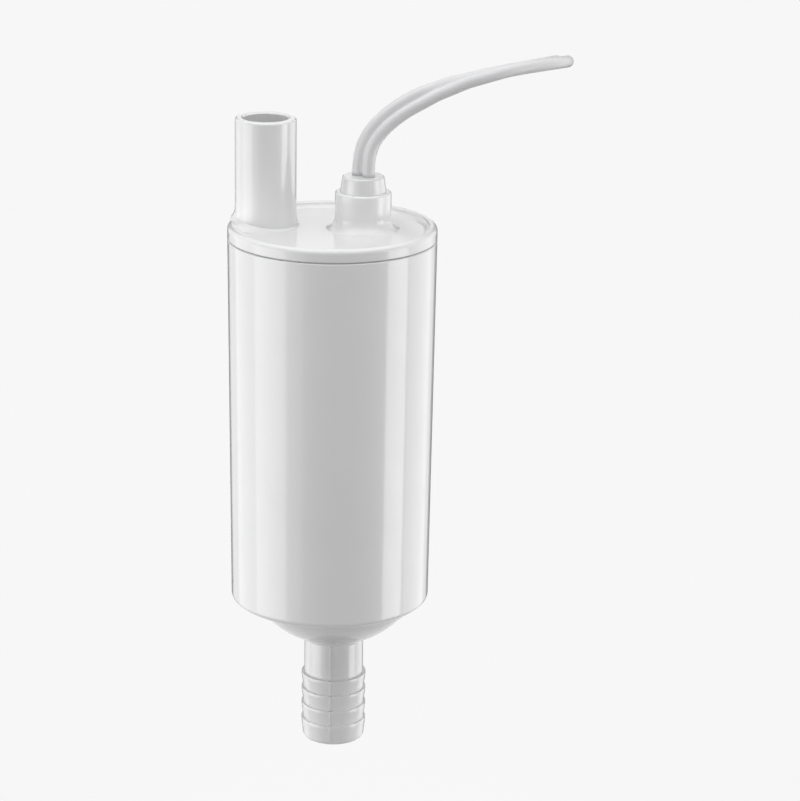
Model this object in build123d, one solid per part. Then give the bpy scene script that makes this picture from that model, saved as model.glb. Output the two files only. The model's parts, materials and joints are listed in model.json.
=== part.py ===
from build123d import *
from math import ceil, cos, pi, radians, sin, sqrt, tan
import os

# Twelve volt inline pump. Millimetres, Z up, X right and Y away from the viewer.
# The origin lies on the inlet tail's axis, level with its lowest barb.
# The motor, impeller and tail share that axis, and the case axis stands a little to its left.

# Barbed inlet tail
TAIL_BORE_R = 4.2
TAIL_NECK_R = 5.95
BARB_CREST_R = 6.5
BARB_TROUGH_R = 6.12
BARB_LAND = 0.5
BARB_PITCH = 3.27
BARB_COUNT = 4
TIP_R = 6.1
TIP_LENGTH = 4.3
TIP_ROUND = 0.9
BORE_CHAMFER = 0.3
PARTING_RIB_WIDTH = 0.5
PARTING_RIB_HEIGHT = 0.1
PARTING_RIB_TURN = -5.5

# Dome under the case, part of a sphere round the tail's axis
DOME_R = 19.2
DOME_JOINT_R = 15.3
DOME_JOINT_DROP = 2.2
DOME_JOINT_STEP = 0.25
DOME_NECK_FILLET = 0.7

# Case
CASE_X = -0.9
CASE_TOP_R = 20.5
CASE_DRAFT = 0.56
CASE_WALL = 1.6
CASE_FLOOR = 2.0
CASE_BOTTOM_Z = 26.2
CASE_HEIGHT = 74.2
CASE_EDGE_R = 1.2
SEAM_CHAMFER = 0.15
SEAM_GROOVE = 0.35
SEAM_GROOVE_DEPTH = 0.7

# Lid
LID_BAND = 2.8
LID_PLATE = 2.3
LID_EDGE_R = 1.0
LID_RIM_WIDTH = 1.3
LID_RIM_DEPTH = 1.1
LID_RIM_ROUND = 0.5
LID_RIM_SLOPE = 70
LID_SPIGOT_WALL = 2.2
LID_SPIGOT_DEPTH = 6.0

# Outlet spout
SPOUT_Y = 3.8
SPOUT_R = 6.0
SPOUT_BORE_R = 4.5
SPOUT_INSET = 0.76
SPOUT_HEIGHT = 21.3
SPOUT_FLARE = 4.2
SPOUT_FOOT_DRAFT = 0.2
SPOUT_FLARE_SHIFT = 1.1
SPOUT_FLARE_INSET = 0.1
SPOUT_EDGE_INSET = 0.15
FLARE_SINK = 0.15
SPOUT_ROUND = 0.5
SPOUT_CHAMFER = 0.3
PASSAGE_R = 4.0
PASSAGE_SHIFT = 1.5
PASSAGE_STEP = 0.8

# Cable boss and grommet
BOSS_X = 5.0
BOSS_Y = 1.6
BOSS_R = 5.5
BOSS_HEIGHT = 7.4
BOSS_FLARE = 2.6
BOSS_ROUND = 0.45
GROMMET_R = 4.5
GROMMET_TOP_R = 4.05
GROMMET_HEAD = 3.1
GROMMET_ROUND = 0.35
GROMMET_PLUG = 7.0
SOCKET_RISE = 1.6

# Impeller chamber, impeller and the guide above it
CHAMBER_R = 11.0
CHAMBER_DEPTH = 6.4
COVER_SPIGOT_R = 13.3
IMPELLER_R = 10.3
IMPELLER_DISC = 1.1
IMPELLER_FLOOR_GAP = 0.5
IMPELLER_HUB_R = 2.6
IMPELLER_NOSE = 2.6
IMPELLER_NOSE_R = 0.8
IMPELLER_DISC_RISE = 0.1
IMPELLER_TOP_GAP = 0.8
HUB_END_WALL = 1.4
BLADE_COUNT = 6
BLADE_WALL = 0.9
BLADE_CURVE_R = 7.0
BLADE_CURVE_Y = 6.4
EYE_R = 4.4
GUIDE_GAP = 0.7
GUIDE_PLATE = 1.2
GUIDE_HEIGHT = 5.0
GUIDE_VANE_COUNT = 8
GUIDE_VANE_WALL = 1.2
GUIDE_VANE_LENGTH = 4.4
GUIDE_VANE_TURN = 25

# Sealed capsule round the motor
CAPSULE_BORE_R = 14.0
CAPSULE_WALL = 1.2
CAPSULE_FLOOR = 2.0
SEAL_POCKET_R = 5.5
SEAL_POCKET_WALL = 1.7
SEAL_POCKET_HEIGHT = 6.0
SHAFT_HOLE_R = 2.2
WIRING_SPACE = 10.3
OUTLET_SPACE = 7.5
GASKET = 0.6
CAPSULE_COVER_PLATE = 2.5
COVER_RING_WALL = 1.4
NECK_BORE_R = 2.9
NECK_WALL = 1.6
COLLAR_WALL = 1.4
COLLAR_DEPTH = 4.5

# Motor
CAN_R = 13.85
CAN_WALL = 1.0
CAN_BOSS_R = 4.9
CAN_BOSS_HEIGHT = 2.0
SHAFT_R = 1.5
BUSH_R = 3.2
BUSH_SEAT = 0.2
BUSH_END_WALL = 1.0
FRONT_BUSH_LENGTH = 3.4
REAR_BUSH_LENGTH = 5.0
SHAFT_END_GAP = 0.4
END_CAP_THICKNESS = 4.0
END_CAP_BOSS_R = 4.4
END_CAP_BOSS_HEIGHT = 4.4
MAGNET_INNER_R = 9.4
MAGNET_GAP = 8.4
MAGNET_OFFSET = 4.2
MAGNET_END_SPACE = 9.8
MAGNET_SPRING_WALL = 0.6
MAGNET_SPRING_LEG = 1.8
MAGNET_SPRING_INSET = 3.0
CORE_R = 8.9
CORE_OFFSET = 6.2
CORE_END_SPACE = 13.8
CORE_HUB_R = 3.2
POLE_COUNT = 3
POLE_LEG = 3.0
POLE_SHOE = 1.5
POLE_HALF_ANGLE = 50
COIL_WIDTH = 7.2
COIL_INNER = 3.6
COIL_OUTER = 6.3
COIL_OVERHANG = 2.4
COIL_ROUND = 1.8
THRUST_WASHER = 0.6
COMMUTATOR_R = 3.0
COMMUTATOR_HUB_R = 2.2
COMMUTATOR_LENGTH = 5.2
COMMUTATOR_SLOT = 0.5
COMMUTATOR_COLLAR = 0.8
COMMUTATOR_END_GAP = 0.5
BRUSH_WIDTH = 3.0
BRUSH_LENGTH = 2.5
BRUSH_HEIGHT = 2.8
BRUSH_SPRING_WIDTH = 2.4
BRUSH_SPRING_WALL = 0.3
BRUSH_SPRING_RISE = 0.3
TERMINAL_Y = 8.5
TERMINAL_WIDTH = 3.0
TERMINAL_WALL = 0.6
TERMINAL_HEIGHT = 7.6
SEAL_HEIGHT = 3.0
SEAL_WALL = 1.2
SEAL_LIP = 0.5
SEAL_LIP_DROP = 0.4
SEAL_WASHER = 0.6

# Lid seal, a ring of round section in a groove
O_RING_SECTION = 1.5
O_RING_GROOVE_WIDTH = 1.9
O_RING_GROOVE_DROP = 2.2

# Clearances
RUNNING_GAP = 0.04
PRESS_GAP = 0.02
FIT_GAP = 0.1
SEAL_GAP = 0.03
BRUSH_GAP = 0.1
TIE_GAP = 0.35

# Twin flex
CORD_WIDTH = 4.7
STRAND_R = 1.22
STRAND_GAP = 0.06
PAIR_TURN = -41
LEAD_BEND = 3.0
LEAD_RISE = 2.2
CONDUCTOR_R = 0.6
CONDUCTOR_LENGTH = 7.0

# Free stretch of the flex, from the grommet over to the back and down to the hank
CORD_ROUTE = [
    (5.0, 1.6, 112.6),
    (5.0, 1.6, 116.6),
    (6.6, 1.6, 120.6),
    (9.9, 1.6, 124.2),
    (14.9, 1.6, 127.6),
    (22.8, 1.8, 131.1),
    (34.2, 5.8, 133.2),
    (44.2, 17.6, 132.6),
    (44.0, 34.0, 129.2),
    (34.7, 48.2, 124.6),
    (22.5, 52.7, 120.8),
    (13.9, 52.7, 116.7),
    (8.5, 51.6, 111.8),
    (5.3, 50.0, 105.6),
    (5.6, 48.2, 98.0),
    (10.7, 46.2, 88.6),
    (12.4, 45.2, 81.0),
    (12.4, 45.2, 74.6),
]

# Hank of the spare flex behind the case
HANK_X = -1.7
HANK_BACK_Y = 45.2
HANK_TOP_Z = 69.9
HANK_RUN = 43.0
HANK_FOLD_R = 14.1
HANK_WAIST = 7.0
HANK_STEP = 5.4
HANK_LOOPS = 4
TIE_WIDTH = 4.4
TIE_WALL = 1.2
TIE_TILT = 0.7
TIE_CORNER = 2.7
TIE_HEAD = 5.0

# Heights that follow from the sizes above
TIP_Z = -TIP_LENGTH
BARB_TOP_Z = (BARB_COUNT - 1) * BARB_PITCH
COVER_DOME_R = DOME_R - DOME_JOINT_STEP
JOINT_Z = CASE_BOTTOM_Z - DOME_JOINT_DROP
DOME_CENTRE_Z = JOINT_Z + sqrt(DOME_R**2 - DOME_JOINT_R**2)
NECK_TOP_Z = DOME_CENTRE_Z - sqrt(COVER_DOME_R**2 - TAIL_NECK_R**2)
FLOOR_Z = CASE_BOTTOM_Z + CASE_FLOOR
SEAM_Z = CASE_BOTTOM_Z + CASE_HEIGHT
LID_TOP_Z = SEAM_Z + LID_BAND
LID_FLOOR_Z = LID_TOP_Z - LID_RIM_DEPTH
LID_UNDER_Z = LID_FLOOR_Z - LID_PLATE
LID_SPIGOT_Z = SEAM_Z - LID_SPIGOT_DEPTH
SPOUT_TOP_Z = LID_FLOOR_Z + SPOUT_HEIGHT
BOSS_TOP_Z = LID_FLOOR_Z + BOSS_HEIGHT
GROMMET_TOP_Z = BOSS_TOP_Z + GROMMET_HEAD
CHAMBER_Z = FLOOR_Z - CHAMBER_DEPTH
CAPSULE_Z = FLOOR_Z + GUIDE_HEIGHT
POCKET_Z = CAPSULE_Z + CAPSULE_FLOOR
CAN_Z = POCKET_Z + SEAL_POCKET_HEIGHT
COVER_TOP_Z = LID_UNDER_Z - OUTLET_SPACE
COVER_Z = COVER_TOP_Z - CAPSULE_COVER_PLATE
CAPSULE_TOP_Z = COVER_Z - GASKET
CAN_TOP_Z = COVER_Z - WIRING_SPACE
SOCKET_TOP_Z = LID_UNDER_Z + SOCKET_RISE
NECK_TOP_OF_COVER_Z = SOCKET_TOP_Z - GASKET
END_CAP_Z = CAN_TOP_Z - END_CAP_THICKNESS
END_BOSS_TOP_Z = CAN_TOP_Z + END_CAP_BOSS_HEIGHT
LEAD_Z = END_BOSS_TOP_Z + LEAD_RISE
FRONT_BUSH_Z = CAN_Z - CAN_BOSS_HEIGHT + BUSH_SEAT
FRONT_BUSH_TOP_Z = FRONT_BUSH_Z + FRONT_BUSH_LENGTH
REAR_BUSH_TOP_Z = END_BOSS_TOP_Z - BUSH_END_WALL - BUSH_SEAT
WASHER_Z = FRONT_BUSH_TOP_Z + FIT_GAP
SHAFT_Z = CHAMBER_Z + HUB_END_WALL + BUSH_SEAT
SHAFT_TOP_Z = REAR_BUSH_TOP_Z - SHAFT_END_GAP
CORE_Z = CAN_Z + CORE_OFFSET
CORE_TOP_Z = CAN_TOP_Z - CORE_END_SPACE
MAGNET_Z = CAN_Z + MAGNET_OFFSET
MAGNET_TOP_Z = CAN_TOP_Z - MAGNET_END_SPACE
COMMUTATOR_TOP_Z = END_CAP_Z - COMMUTATOR_END_GAP
COMMUTATOR_Z = COMMUTATOR_TOP_Z - COMMUTATOR_LENGTH
BRUSH_Z = COMMUTATOR_Z + (COMMUTATOR_LENGTH - BRUSH_HEIGHT) / 2
CAPSULE_R = CAPSULE_BORE_R + CAPSULE_WALL
CAN_BORE_R = CAN_R - CAN_WALL
NECK_R = NECK_BORE_R + NECK_WALL
SOCKET_R = NECK_R + FIT_GAP
HANK_BOTTOM_Z = HANK_TOP_Z - HANK_RUN
HANK_WAIST_Z = (HANK_TOP_Z + HANK_BOTTOM_Z) / 2
PAIR_OFFSET = STRAND_R + STRAND_GAP
SPOUT_REACH = CASE_TOP_R - SPOUT_INSET - SPOUT_R
SPOUT_X = CASE_X - sqrt(SPOUT_REACH**2 - SPOUT_Y**2)

UPRIGHT = (Align.CENTER, Align.CENTER, Align.MIN)


def disc(radius, low, high, x=0.0, y=0.0):
    """An upright cylinder between two heights."""
    return Pos(x, y, low) * Cylinder(radius, high - low, align=UPRIGHT)


def ring(inner, outer, low, high, x=0.0, y=0.0):
    """An upright tube between two heights."""
    return disc(outer, low, high, x, y) - disc(inner, low, high, x, y)


def block(x_size, y_size, low, high, x=0.0, y=0.0):
    """An upright box, centred on x and y, between two heights."""
    return Pos(x, y, low) * Box(x_size, y_size, high - low, align=UPRIGHT)


def turned(points):
    """A solid turned about the Z axis from radius and height pairs."""
    outline = Polyline(*[(radius, 0, height) for radius, height in points], close=True)
    return revolve(make_face(outline), Axis.Z)


def around(count, solid):
    """Copies of a solid spaced evenly about the Z axis."""
    return [Rot(0, 0, 360 / count * index) * solid for index in range(count)]


def edges_at(solid, height, radius):
    """The round edges of one radius at one height."""
    circles = solid.edges().filter_by(GeomType.CIRCLE)
    level = circles.filter_by(lambda edge: abs(edge.center(CenterOf.BOUNDING_BOX).Z - height) < 0.01)
    return level.filter_by(lambda edge: abs(edge.radius - radius) < 0.01)


def case_outer_r(height):
    """The case's outer radius at a height, with its moulding draft."""
    return CASE_TOP_R - (SEAM_Z - height) * tan(radians(CASE_DRAFT))


def case_inner_r(height):
    """The case's inner radius at a height."""
    return case_outer_r(height) - CASE_WALL


def foot_flare(radius, flare, height, x, y):
    """The concave flare where a round boss meets a flat floor."""
    inside = radius - 1.0
    bend = flare * (1 - sin(radians(45)))
    outline = [
        Line((inside, 0, height), (radius + flare, 0, height)),
        ThreePointArc(
            (radius + flare, 0, height),
            (radius + bend, 0, height + bend),
            (radius, 0, height + flare),
        ),
        Line((radius, 0, height + flare), (inside, 0, height + flare)),
        Line((inside, 0, height + flare), (inside, 0, height)),
    ]
    return Pos(x, y, 0) * revolve(make_face(outline), Axis.Z)


def tail_outline(growth):
    """Radius and height pairs of the barbed tail, grown outward by one amount."""
    points = [(0, TIP_Z), (TIP_R + growth, TIP_Z), (BARB_CREST_R + growth, -BARB_LAND)]
    for index in range(BARB_COUNT):
        crest_z = index * BARB_PITCH
        points.append((BARB_CREST_R + growth, crest_z))
        if index < BARB_COUNT - 1:
            points.append((BARB_TROUGH_R + growth, crest_z))
            points.append((BARB_CREST_R + growth, crest_z + BARB_PITCH - BARB_LAND))
    top_z = NECK_TOP_Z + 0.6
    return points + [(TAIL_NECK_R + growth, BARB_TOP_Z), (TAIL_NECK_R + growth, top_z), (0, top_z)]


def make_case():
    """Drafted tube with a floor, and the upper band of the dome under it."""
    outer = Pos(CASE_X, 0, CASE_BOTTOM_Z) * Cone(
        case_outer_r(CASE_BOTTOM_Z), CASE_TOP_R, CASE_HEIGHT, align=UPRIGHT
    )
    outer = fillet(edges_at(outer, CASE_BOTTOM_Z, case_outer_r(CASE_BOTTOM_Z)), CASE_EDGE_R)
    outer = chamfer(edges_at(outer, SEAM_Z, CASE_TOP_R), SEAM_CHAMFER)
    inner = Pos(CASE_X, 0, FLOOR_Z) * Cone(
        case_inner_r(FLOOR_Z), case_inner_r(SEAM_Z), SEAM_Z - FLOOR_Z, align=UPRIGHT
    )
    dome = Pos(0, 0, DOME_CENTRE_Z) * Sphere(DOME_R)
    band = dome & disc(DOME_R, JOINT_Z, CASE_BOTTOM_Z + CASE_FLOOR / 2)
    opening = disc(COVER_SPIGOT_R + FIT_GAP, JOINT_Z - 1, FLOOR_Z + 1)
    return outer + band - inner - opening


def make_inlet_cover():
    """Lower dome with the impeller chamber in it and the barbed tail below."""
    dome = Pos(0, 0, DOME_CENTRE_Z) * Sphere(COVER_DOME_R)
    cover = (dome & disc(DOME_R, 0, JOINT_Z)) + turned(tail_outline(0))
    cover = fillet(edges_at(cover, NECK_TOP_Z, TAIL_NECK_R), DOME_NECK_FILLET)
    cover = fillet(edges_at(cover, TIP_Z, TIP_R), TIP_ROUND)
    rib_box = block(PARTING_RIB_WIDTH, 4 * BARB_CREST_R, TIP_Z + TIP_ROUND, NECK_TOP_Z)
    rib_limit = disc(BARB_CREST_R, TIP_Z, NECK_TOP_Z)
    cover += turned(tail_outline(PARTING_RIB_HEIGHT)) & (Rot(0, 0, PARTING_RIB_TURN) * rib_box) & rib_limit
    cover += disc(COVER_SPIGOT_R, JOINT_Z - 1, FLOOR_Z)
    cover -= disc(CHAMBER_R, CHAMBER_Z, FLOOR_Z + 1)
    cover -= disc(TAIL_BORE_R, TIP_Z - 1, CHAMBER_Z + 1)
    return chamfer(edges_at(cover, TIP_Z, TAIL_BORE_R), BORE_CHAMFER)


def lid_top():
    """The lid's outer edge with its rounding, the raised rim and the dished floor inside it."""
    edge_z = LID_TOP_Z - LID_EDGE_R
    flat_r = CASE_TOP_R - LID_RIM_WIDTH
    slope = radians(LID_RIM_SLOPE)
    bowl_r = LID_RIM_DEPTH / (1 - cos(slope)) - LID_RIM_ROUND
    half = slope / 2
    mid_r = flat_r - LID_RIM_ROUND * sin(slope)
    mid_z = LID_TOP_Z - LID_RIM_ROUND * (1 - cos(slope))
    floor_r = mid_r - bowl_r * sin(slope)
    edge_bend = LID_EDGE_R * (1 - sin(radians(45)))
    outline = [
        Line((0, 0, SEAM_Z), (CASE_TOP_R, 0, SEAM_Z)),
        Line((CASE_TOP_R, 0, SEAM_Z), (CASE_TOP_R, 0, edge_z)),
        ThreePointArc(
            (CASE_TOP_R, 0, edge_z),
            (CASE_TOP_R - edge_bend, 0, LID_TOP_Z - edge_bend),
            (CASE_TOP_R - LID_EDGE_R, 0, LID_TOP_Z),
        ),
        Line((CASE_TOP_R - LID_EDGE_R, 0, LID_TOP_Z), (flat_r, 0, LID_TOP_Z)),
        ThreePointArc(
            (flat_r, 0, LID_TOP_Z),
            (flat_r - LID_RIM_ROUND * sin(half), 0, LID_TOP_Z - LID_RIM_ROUND * (1 - cos(half))),
            (mid_r, 0, mid_z),
        ),
        ThreePointArc(
            (mid_r, 0, mid_z),
            (floor_r + bowl_r * sin(half), 0, LID_FLOOR_Z + bowl_r * (1 - cos(half))),
            (floor_r, 0, LID_FLOOR_Z),
        ),
        Line((floor_r, 0, LID_FLOOR_Z), (0, 0, LID_FLOOR_Z)),
        Line((0, 0, LID_FLOOR_Z), (0, 0, SEAM_Z)),
    ]
    return Pos(CASE_X, 0, 0) * revolve(make_face(outline), Axis.Z)


def make_lid():
    """Cap with a raised rim, the outlet spout, the cable boss and a spigot below."""
    plate = lid_top()
    plate -= ring(CASE_TOP_R - SEAM_GROOVE_DEPTH, CASE_TOP_R + 1, SEAM_Z - 1, SEAM_Z + SEAM_GROOVE, CASE_X)
    spigot_r = case_inner_r(SEAM_Z) - FIT_GAP * 2
    spigot = disc(spigot_r, LID_SPIGOT_Z, SEAM_Z, CASE_X)
    hollow = disc(spigot_r - LID_SPIGOT_WALL, LID_SPIGOT_Z - 1, LID_UNDER_Z, CASE_X)
    groove_r = spigot_r - O_RING_SECTION + SEAL_GAP
    groove_z = SEAM_Z - O_RING_GROOVE_DROP - O_RING_GROOVE_WIDTH
    groove = ring(groove_r, CASE_TOP_R, groove_z, groove_z + O_RING_GROOVE_WIDTH, CASE_X)
    lid = plate + (spigot - hollow - groove)

    spout = disc(SPOUT_R, LID_FLOOR_Z + SPOUT_FLARE, SPOUT_TOP_Z, SPOUT_X, SPOUT_Y)
    spout = fillet(edges_at(spout, SPOUT_TOP_Z, SPOUT_R), SPOUT_ROUND)
    spout_low = Cone(SPOUT_R + SPOUT_FOOT_DRAFT, SPOUT_R, SPOUT_FLARE, align=UPRIGHT)
    spout += Pos(SPOUT_X, SPOUT_Y, LID_FLOOR_Z) * spout_low
    flare_z = LID_FLOOR_Z - FLARE_SINK
    outward = (Vector(SPOUT_X, SPOUT_Y) - Vector(CASE_X, 0)).normalized()
    foot_middle = Vector(SPOUT_X, SPOUT_Y) + outward * SPOUT_FLARE_SHIFT
    foot_r = SPOUT_R - SPOUT_FLARE_SHIFT - SPOUT_FLARE_INSET
    spout_foot = foot_flare(foot_r, SPOUT_FLARE, flare_z, foot_middle.X, foot_middle.Y)
    inside_edge = disc(CASE_TOP_R - SPOUT_EDGE_INSET, LID_UNDER_Z, SPOUT_TOP_Z, CASE_X)
    boss = disc(BOSS_R, LID_FLOOR_Z, BOSS_TOP_Z, BOSS_X, BOSS_Y)
    boss = fillet(edges_at(boss, BOSS_TOP_Z, BOSS_R), BOSS_ROUND)
    boss_foot = foot_flare(BOSS_R, BOSS_FLARE, flare_z, BOSS_X, BOSS_Y)
    collar = disc(SOCKET_R + COLLAR_WALL, LID_UNDER_Z - COLLAR_DEPTH, LID_UNDER_Z, BOSS_X, BOSS_Y)
    lid += [spout, spout_foot & inside_edge, boss, boss_foot, collar]

    passage = Vector(SPOUT_X, SPOUT_Y) - outward * PASSAGE_SHIFT
    lid -= disc(SPOUT_BORE_R, LID_FLOOR_Z - PASSAGE_STEP, SPOUT_TOP_Z + 1, SPOUT_X, SPOUT_Y)
    lid -= disc(PASSAGE_R, LID_UNDER_Z - 1, LID_FLOOR_Z, passage.X, passage.Y)
    lid -= disc(SOCKET_R, LID_UNDER_Z - COLLAR_DEPTH - 1, SOCKET_TOP_Z, BOSS_X, BOSS_Y)
    lid -= disc(GROMMET_R + SEAL_GAP, SOCKET_TOP_Z, BOSS_TOP_Z + 1, BOSS_X, BOSS_Y)
    return chamfer(edges_at(lid, SPOUT_TOP_Z, SPOUT_BORE_R), SPOUT_CHAMFER)


def make_lid_seal():
    """Round-section rubber ring in the lid spigot's groove."""
    section_r = O_RING_SECTION / 2
    outer_r = case_inner_r(SEAM_Z - O_RING_GROOVE_DROP - O_RING_GROOVE_WIDTH) - SEAL_GAP
    centre_z = SEAM_Z - O_RING_GROOVE_DROP - O_RING_GROOVE_WIDTH / 2
    return Pos(CASE_X, 0, centre_z) * Torus(outer_r - section_r, section_r)


def pair_points():
    """Where the two strands of the flex pass the grommet, back strand first."""
    along = Vector(cos(radians(PAIR_TURN)), sin(radians(PAIR_TURN))) * PAIR_OFFSET
    middle = Vector(BOSS_X, BOSS_Y)
    return [middle - along, middle + along]


def make_grommet():
    """Soft plug in the boss with a tapered head and a hole for each strand."""
    plug = disc(GROMMET_R, BOSS_TOP_Z - GROMMET_PLUG, BOSS_TOP_Z, BOSS_X, BOSS_Y)
    head = Pos(BOSS_X, BOSS_Y, BOSS_TOP_Z) * Cone(GROMMET_R, GROMMET_TOP_R, GROMMET_HEAD, align=UPRIGHT)
    head = fillet(edges_at(head, GROMMET_TOP_Z, GROMMET_TOP_R), GROMMET_ROUND)
    grommet = plug + head
    for point in pair_points():
        hole_r = STRAND_R + SEAL_GAP
        grommet -= disc(hole_r, BOSS_TOP_Z - GROMMET_PLUG - 1, GROMMET_TOP_Z + 1, point.X, point.Y)
    return grommet


def make_inner_leads():
    """The two strands inside, from the motor's terminals up through the grommet."""
    leads = []
    for side, point in zip((1, -1), pair_points()):
        start = (TERMINAL_WALL / 2, side * TERMINAL_Y, LEAD_Z)
        turn = (point.X, side * TERMINAL_Y, LEAD_Z)
        foot = (point.X, point.Y, LEAD_Z)
        path = FilletPolyline(start, turn, foot, (point.X, point.Y, GROMMET_TOP_Z), radius=LEAD_BEND)
        leads.append(sweep(Plane(path @ 0, z_dir=path % 0) * Circle(STRAND_R), path))
    return Compound(leads)


def make_impeller():
    """Back disc with curved blades under it, on a hub with a nose in the eye."""
    disc_top = FLOOR_Z + IMPELLER_DISC_RISE
    disc_low = disc_top - IMPELLER_DISC
    blade_low = CHAMBER_Z + IMPELLER_FLOOR_GAP
    hub_top = CAPSULE_Z - IMPELLER_TOP_GAP
    impeller = disc(IMPELLER_R, disc_low, disc_top) + disc(IMPELLER_HUB_R, CHAMBER_Z, hub_top)
    nose = Cone(IMPELLER_NOSE_R, IMPELLER_HUB_R, IMPELLER_NOSE, align=UPRIGHT)
    impeller += Pos(0, 0, CHAMBER_Z - IMPELLER_NOSE) * nose
    blade_inner_r = BLADE_CURVE_R - BLADE_WALL / 2
    curve = ring(blade_inner_r, blade_inner_r + BLADE_WALL, blade_low, disc_top, 0, BLADE_CURVE_Y)
    swept = ring(EYE_R, IMPELLER_R, blade_low, disc_top)
    half = block(2 * IMPELLER_R, 4 * IMPELLER_R, blade_low, disc_top, IMPELLER_R)
    impeller += around(BLADE_COUNT, curve & swept & half)
    return impeller - disc(SHAFT_R + PRESS_GAP, CHAMBER_Z + HUB_END_WALL, hub_top + 1)


def make_flow_guide():
    """Ring on the case floor with slanted vanes that carry the capsule."""
    inner_r = CHAMBER_R + 2 * FIT_GAP
    outer_r = case_inner_r(FLOOR_Z) - abs(CASE_X) - GUIDE_GAP
    guide = ring(inner_r, outer_r, FLOOR_Z, FLOOR_Z + GUIDE_PLATE)
    middle_r = (inner_r + outer_r) / 2
    vane = block(GUIDE_VANE_LENGTH, GUIDE_VANE_WALL, FLOOR_Z, CAPSULE_Z)
    return guide + around(GUIDE_VANE_COUNT, Pos(middle_r, 0, 0) * Rot(0, 0, GUIDE_VANE_TURN) * vane)


def make_capsule():
    """Cup round the motor with a pocket for the shaft seal in its floor."""
    cup = disc(CAPSULE_R, CAPSULE_Z, CAPSULE_TOP_Z)
    cup -= disc(CAPSULE_BORE_R, POCKET_Z, CAPSULE_TOP_Z + 1)
    cup += disc(SEAL_POCKET_R + SEAL_POCKET_WALL, POCKET_Z, CAN_Z)
    cup -= disc(SEAL_POCKET_R, POCKET_Z, CAN_Z + 1)
    return cup - disc(SHAFT_HOLE_R, CAPSULE_Z - 1, POCKET_Z + 1)


def make_capsule_cover():
    """Lid of the capsule, with a ring down to the motor and a neck up into the boss."""
    ring_r = CAPSULE_BORE_R - FIT_GAP
    cover = disc(CAPSULE_R, COVER_Z, COVER_TOP_Z) + ring(ring_r - COVER_RING_WALL, ring_r, CAN_TOP_Z, COVER_Z)
    cover += disc(NECK_R, COVER_Z, NECK_TOP_OF_COVER_Z, BOSS_X, BOSS_Y)
    return cover - disc(NECK_BORE_R, COVER_Z - 1, NECK_TOP_OF_COVER_Z + 1, BOSS_X, BOSS_Y)


def make_shaft_seal():
    """Rubber seal: outer wall, web and a lip that closes in on the shaft."""
    wall_r = SEAL_POCKET_R - SEAL_GAP
    lip_r = SHAFT_R + RUNNING_GAP
    web_z = POCKET_Z + SEAL_WALL
    lip_z = POCKET_Z + SEAL_HEIGHT - SEAL_LIP_DROP
    points = [
        (SHAFT_HOLE_R + 0.2, POCKET_Z),
        (wall_r, POCKET_Z),
        (wall_r, POCKET_Z + SEAL_HEIGHT),
        (wall_r - SEAL_WALL, POCKET_Z + SEAL_HEIGHT),
        (wall_r - SEAL_WALL, web_z),
        (SHAFT_HOLE_R + 0.6, web_z),
        (lip_r + SEAL_LIP, lip_z),
        (lip_r, lip_z),
        (lip_r, lip_z - SEAL_LIP),
    ]
    return turned(points)


def make_motor_can():
    """Steel can with a floor and a boss for the front bush."""
    can = disc(CAN_R, CAN_Z, CAN_TOP_Z) + disc(CAN_BOSS_R, CAN_Z - CAN_BOSS_HEIGHT, CAN_Z)
    can -= disc(CAN_BORE_R, CAN_Z + CAN_WALL, CAN_TOP_Z + 1)
    can -= disc(BUSH_R, FRONT_BUSH_Z, CAN_TOP_Z)
    return can - disc(SHAFT_HOLE_R, CAN_Z - CAN_BOSS_HEIGHT - 1, CAN_Z)


def make_end_cap():
    """Plastic cap that closes the can, with the rear bush's boss and terminal slots."""
    cap = disc(CAN_BORE_R - SEAL_GAP, END_CAP_Z, CAN_TOP_Z) + disc(END_CAP_BOSS_R, CAN_TOP_Z, END_BOSS_TOP_Z)
    cap -= disc(BUSH_R, END_CAP_Z - 1, END_BOSS_TOP_Z - BUSH_END_WALL)
    for side in (1, -1):
        slot_x = TERMINAL_WALL + 2 * PRESS_GAP
        slot_y = TERMINAL_WIDTH + 2 * PRESS_GAP
        cap -= block(slot_x, slot_y, END_CAP_Z - 1, CAN_TOP_Z + 1, 0, side * TERMINAL_Y)
    return cap


def make_magnets():
    """Two arc magnets inside the can."""
    arcs = ring(MAGNET_INNER_R, CAN_BORE_R - PRESS_GAP, MAGNET_Z, MAGNET_TOP_Z)
    return arcs - block(MAGNET_GAP, 4 * CAN_R, MAGNET_Z - 1, MAGNET_TOP_Z + 1)


def make_magnet_spring():
    """Bowed leaf with two legs that holds the magnets apart."""
    low = MAGNET_Z + MAGNET_SPRING_INSET
    high = MAGNET_TOP_Z - MAGNET_SPRING_INSET
    half_gap = MAGNET_GAP / 2 - PRESS_GAP
    leaf_r = CAN_BORE_R - PRESS_GAP
    leaf = ring(leaf_r - MAGNET_SPRING_WALL, leaf_r, low, high)
    spring = leaf & block(2 * half_gap, CAN_R, low, high, 0, CAN_R)
    leg_y = sqrt(leaf_r**2 - half_gap**2) - MAGNET_SPRING_LEG / 2
    for side in (1, -1):
        leg_x = side * (half_gap - MAGNET_SPRING_WALL / 2)
        spring += block(MAGNET_SPRING_WALL, MAGNET_SPRING_LEG, low, high, leg_x, leg_y)
    return spring


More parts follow.
